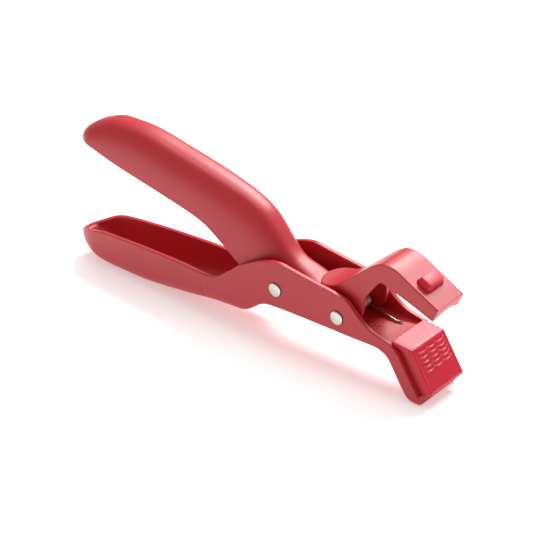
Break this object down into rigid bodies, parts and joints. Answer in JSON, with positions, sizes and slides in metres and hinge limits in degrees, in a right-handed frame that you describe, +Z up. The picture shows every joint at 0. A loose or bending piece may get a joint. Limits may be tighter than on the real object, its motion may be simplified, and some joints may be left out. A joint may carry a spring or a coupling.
{
  "type": "bowl gripper",
  "caption": "Squeeze-handle gripper for hot bowls: trough handle with a front jaw, hinged upper handle, and a sprung hook-shaped upper jaw with silicone pads.",
  "frame": {"origin": "centre of the bounding box in plan, on the surface that the gripper stands on", "axes": "+X from the handle end to the jaws, +Y across the gripper along the rivets, +Z up"},
  "size_m": [0.1981, 0.0274, 0.0717],
  "materials": {
    "moulded_plastic": "spark-eroded matte red",
    "silicone": "smooth crimson silicone",
    "rivet_steel": "satin, turned",
    "spring_wire": "drawn bright wire"
  },
  "bodies": {
    "body": {"lower_body": "moulded_plastic", "lower_jaw_pad": "silicone", "rear_rivet": "rivet_steel", "rear_rivet_cap": "rivet_steel", "front_rivet": "rivet_steel", "front_rivet_cap": "rivet_steel", "torsion_spring": "spring_wire"},
    "handle": {"upper_handle": "moulded_plastic"},
    "jaw": {"upper_jaw": "moulded_plastic", "upper_jaw_pad": "silicone"}
  },
  "joints": [
    {"name": "handle_hinge", "type": "hinge", "parent": "body", "child": "handle", "pos_m": [0.021, 0, 0.0267], "axis": [0, -1, 0], "range_deg": [0, 21.5]},
    {"name": "jaw_hinge", "type": "hinge", "parent": "body", "child": "jaw", "pos_m": [0.0528, 0, 0.0253], "axis": [0, 1, 0], "range_deg": [0, 30.2], "stiffness_Nm_per_rad": 0.3, "springref_deg": -28.65, "deforming": ["torsion_spring"]}
  ],
  "couplings": [
    {"joint": "jaw_hinge", "follows": "handle_hinge", "ratio": 1.4}
  ]
}
